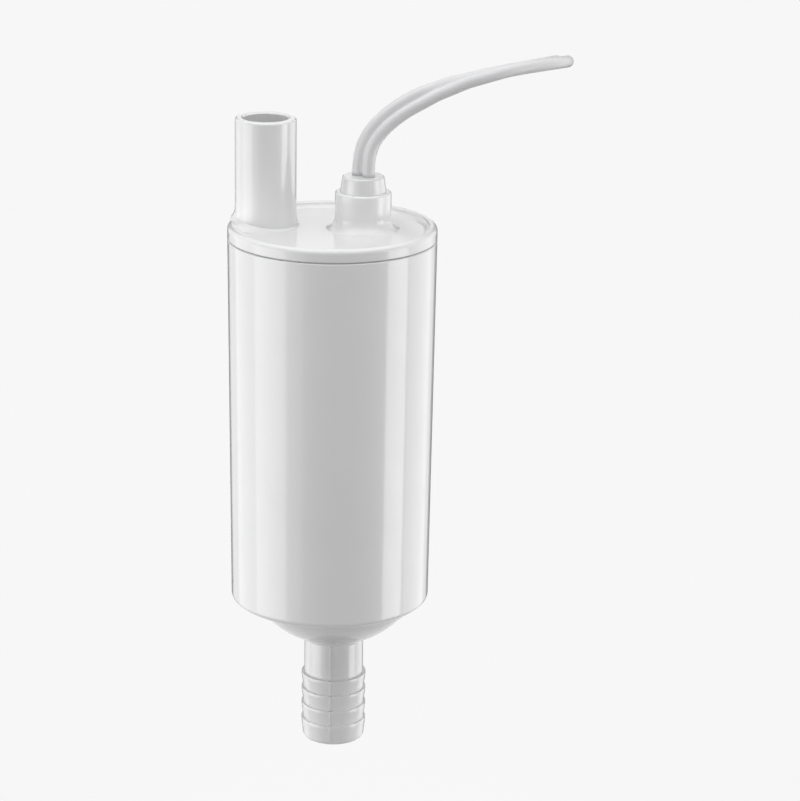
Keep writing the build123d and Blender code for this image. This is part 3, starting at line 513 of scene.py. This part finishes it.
MATERIALS = {
    "housing": plastic("white_housing_plastic", HOUSING_WHITE, 0.42, polish=0.11),
    "grommet": plastic("grommet_plastic", GROMMET_WHITE, 0.40, skin=1300, depth=5, polish=0.16),
    "cord": cord_plastic(),
    "tie": plastic("tie_nylon", TIE_WHITE, 0.38, skin=1300, depth=8),
    "tinned_copper": metal("tinned_wire", TIN, 0.3, (1, 1, 0.1)),
    "capsule": plastic("capsule_plastic", CAPSULE_WHITE, 0.42, skin=1100, depth=10),
    "impeller": plastic("impeller_acetal", ACETAL_WHITE, 0.32, skin=1100, depth=10),
    "seal_rubber": rubber("black_seal_rubber", RUBBER_BLACK),
    "steel": metal("ground_steel", STEEL, 0.24, (1, 1, 12)),
    "plated_can": metal("plated_steel", ZINC, 0.3, (1, 1, 0.08)),
    "laminated_steel": banded("laminated_core", *CORE_BANDS, 0.4),
    "ferrite": plastic("ferrite_magnet", FERRITE_GREY, 0.55, skin=1600, depth=20, variation=0.2),
    "copper_wire": banded("enamelled_windings", *WINDING_BANDS, 0.25),
    "copper": metal("turned_copper", COPPER, 0.26, (1, 1, 14)),
    "bronze": metal("sintered_bronze", BRONZE, 0.42, scale=2600, depth=10),
    "brass": metal("rolled_brass", BRASS, 0.28, (0.1, 1, 1)),
    "carbon": plastic("brush_carbon", CARBON_BLACK, 0.6, skin=2200, depth=20, variation=0.3),
    "cap_plastic": plastic("black_cap_plastic", CAP_BLACK, 0.4, skin=1200, depth=10, variation=0.1),
    "nylon": plastic("washer_nylon", NYLON_WHITE, 0.4, skin=1200, depth=10),
}


def dress(obj, material):
    """Gives a new piece its material."""
    obj.data.materials.append(material)


for part in frame["record"]["subparts"]:
    piece = nodes[part["node"]]
    material = MATERIALS[part["material_slot"]]
    if len(piece.material_slots) == 0:
        piece.data.materials.append(material)
    for place in piece.material_slots:
        place.material = material

parting_line = make_parting_line()
# The parting line's paler white is a painted highlight along its ridge.
dress(parting_line, plastic("parting_line_painted_highlight", PARTING_HIGHLIGHT_WHITE, 0.6, skin=1300))
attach(parting_line, "pump")

flex, flex_path = make_flex()
dress(flex, MATERIALS["cord"])
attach(flex, "pump")
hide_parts("supply_cord", "cord_hank")


# Surroundings, in metres and degrees. Azimuth 0 is the camera's side, and positive is to its right.
BACKGROUND = 0.939
AMBIENT = 0.31
FLOOR_Z = -0.45
FLOOR_SIZE = 12.0
FLOOR_COLOUR = 0.14
FLOOR_TINT = 0.06
FLOOR_LIGHT = 0.45
PANEL_DISTANCE = 0.6
PANEL_LOW_Z = -0.36
PANEL_HIGH_Z = 0.2
TOP_PANEL_SIZE = 0.7
TOP_PANEL_AT = (0, -0.1, 0.5)
TOP_PANEL_RADIANCE = 1.4
FLAG_DISTANCE = 0.9
FLAG_LOW_Z = -0.44
FLAG_HIGH_Z = 0.6
FLAG_COLOUR = 0.02
FLAG_ROUGHNESS = 0.9

# Each panel of light: name, the azimuths that it covers and its radiance
PANELS = [
    ("softbox_left_front", -30, -50, 0.6),
    ("softbox_left", -50, -92, 2.35),
    ("softbox_left_back", -92, -130, 0.9),
    ("softbox_right", 64, 91.5, 3.1),
    ("softbox_right_back", 96, 140, 0.9),
]
FLAGS = [
    ("flag_left", -154, -172),
    ("flag_right", 154, 172),
]


def seen_directly(tree):
    """1 for camera, mirror and see-through rays."""
    path = tree.nodes.new("ShaderNodeLightPath")
    total = tree.nodes.new("ShaderNodeMath")
    total.operation = "MAXIMUM"
    more = tree.nodes.new("ShaderNodeMath")
    more.operation = "MAXIMUM"
    tree.links.new(path.outputs["Is Camera Ray"], total.inputs[0])
    tree.links.new(path.outputs["Is Glossy Ray"], total.inputs[1])
    tree.links.new(total.outputs[0], more.inputs[0])
    tree.links.new(path.outputs["Is Transmission Ray"], more.inputs[1])
    return more.outputs[0]


def make_world():
    """White light from all round, with the photograph's pale background where it is seen."""
    world = bpy.data.worlds.new("studio")
    bpy.context.scene.world = world
    world.use_nodes = True
    tree = world.node_tree
    tree.nodes.clear()
    out = tree.nodes.new("ShaderNodeOutputWorld")
    mix = tree.nodes.new("ShaderNodeMixShader")
    fill = tree.nodes.new("ShaderNodeBackground")
    shown = tree.nodes.new("ShaderNodeBackground")
    fill.inputs["Color"].default_value = (1, 1, 1, 1)
    fill.inputs["Strength"].default_value = AMBIENT
    shown.inputs["Color"].default_value = (1, 1, 1, 1)
    shown.inputs["Strength"].default_value = BACKGROUND
    tree.links.new(seen_directly(tree), mix.inputs["Fac"])
    tree.links.new(fill.outputs[0], mix.inputs[1])
    tree.links.new(shown.outputs[0], mix.inputs[2])
    tree.links.new(mix.outputs[0], out.inputs["Surface"])


def make_floor():
    """Pale floor: the object's shadow stays, and its glow brings it close to the background's white.
    """
    half = FLOOR_SIZE / 2
    corners = [(-half, -half), (half, -half), (half, half), (-half, half)]
    verts = [(x, y, FLOOR_Z) for x, y in corners]
    floor = mesh_object("floor", verts, [(0, 1, 2, 3)], smooth=False)
    material = bpy.data.materials.new("pale_floor")
    material.use_nodes = True
    tree = material.node_tree
    tree.nodes.clear()
    out = tree.nodes.new("ShaderNodeOutputMaterial")
    mix = tree.nodes.new("ShaderNodeMixShader")
    matte = tree.nodes.new("ShaderNodeBsdfDiffuse")
    glow = tree.nodes.new("ShaderNodeEmission")
    both = tree.nodes.new("ShaderNodeAddShader")
    thin = tree.nodes.new("ShaderNodeBsdfDiffuse")
    matte.inputs["Color"].default_value = (FLOOR_COLOUR, FLOOR_COLOUR, FLOOR_COLOUR, 1)
    thin.inputs["Color"].default_value = (FLOOR_TINT, FLOOR_TINT, FLOOR_TINT, 1)
    glow.inputs["Strength"].default_value = BACKGROUND - FLOOR_TINT * FLOOR_LIGHT
    tree.links.new(thin.outputs[0], both.inputs[0])
    tree.links.new(glow.outputs[0], both.inputs[1])
    tree.links.new(seen_directly(tree), mix.inputs["Fac"])
    tree.links.new(matte.outputs[0], mix.inputs[1])
    tree.links.new(both.outputs[0], mix.inputs[2])
    tree.links.new(mix.outputs[0], out.inputs["Surface"])
    floor.data.materials.append(material)


def at_azimuth(azimuth, distance, height):
    """A point round the pump."""
    a = math.radians(azimuth)
    return Vector((distance * math.sin(a), -distance * math.cos(a), height))


def softbox(name, azimuth, width, radiance):
    """A tall panel of light that faces the pump's axis."""
    tall = PANEL_HIGH_Z - PANEL_LOW_Z
    data = bpy.data.lights.new(name, "AREA")
    data.shape = "RECTANGLE"
    data.size = width
    data.size_y = tall
    data.energy = radiance * width * tall * math.pi
    lamp = bpy.data.objects.new(name, data)
    at = at_azimuth(azimuth, PANEL_DISTANCE, (PANEL_LOW_Z + PANEL_HIGH_Z) / 2)
    aim = Vector((0, 0, at.z)) - at
    lamp.matrix_world = Matrix.Translation(at) @ aim.to_track_quat("-Z", "Y").to_matrix().to_4x4()
    lamp.visible_camera = False
    bpy.context.scene.collection.objects.link(lamp)


def dark_flag(name, azimuth, width):
    """A black panel behind the pump, which draws the thin dark outline on glossy plastic."""
    low = at_azimuth(azimuth, FLAG_DISTANCE, FLAG_LOW_Z)
    high = at_azimuth(azimuth, FLAG_DISTANCE, FLAG_HIGH_Z)
    centre = at_azimuth(azimuth, FLAG_DISTANCE, 0)
    across = Vector((0, 0, 1)).cross(centre.normalized()) * (width / 2)
    verts = [low - across, low + across, high + across, high - across]
    flag = mesh_object(name, verts, [(0, 1, 2, 3)], smooth=False)
    material = bpy.data.materials.new(name)
    material.use_nodes = True
    shader = next(n for n in material.node_tree.nodes if n.type == "BSDF_PRINCIPLED")
    shader.inputs["Base Color"].default_value = (FLAG_COLOUR, FLAG_COLOUR, FLAG_COLOUR, 1)
    shader.inputs["Roughness"].default_value = FLAG_ROUGHNESS
    flag.data.materials.append(material)
    flag.visible_camera = False


def span(from_azimuth, to_azimuth, distance):
    """The azimuth and width of a panel that covers a range of azimuths at a distance."""
    middle = (from_azimuth + to_azimuth) / 2
    half = math.radians(abs(to_azimuth - from_azimuth) / 2)
    return middle, 2 * distance * math.tan(half)


def top_panel():
    """A level panel of light above the pump."""
    data = bpy.data.lights.new("softbox_top", "AREA")
    data.shape = "SQUARE"
    data.size = TOP_PANEL_SIZE
    data.energy = TOP_PANEL_RADIANCE * TOP_PANEL_SIZE**2 * math.pi
    lamp = bpy.data.objects.new("softbox_top", data)
    lamp.location = TOP_PANEL_AT
    lamp.visible_camera = False
    bpy.context.scene.collection.objects.link(lamp)


make_world()
make_floor()
for name, from_azimuth, to_azimuth, radiance in PANELS:
    middle, width = span(from_azimuth, to_azimuth, PANEL_DISTANCE)
    softbox(name, middle, width, radiance)
top_panel()
for name, from_azimuth, to_azimuth in FLAGS:
    middle, width = span(from_azimuth, to_azimuth, FLAG_DISTANCE)
    dark_flag(name, middle, width)

bpy.context.scene.view_settings.view_transform = "Standard"
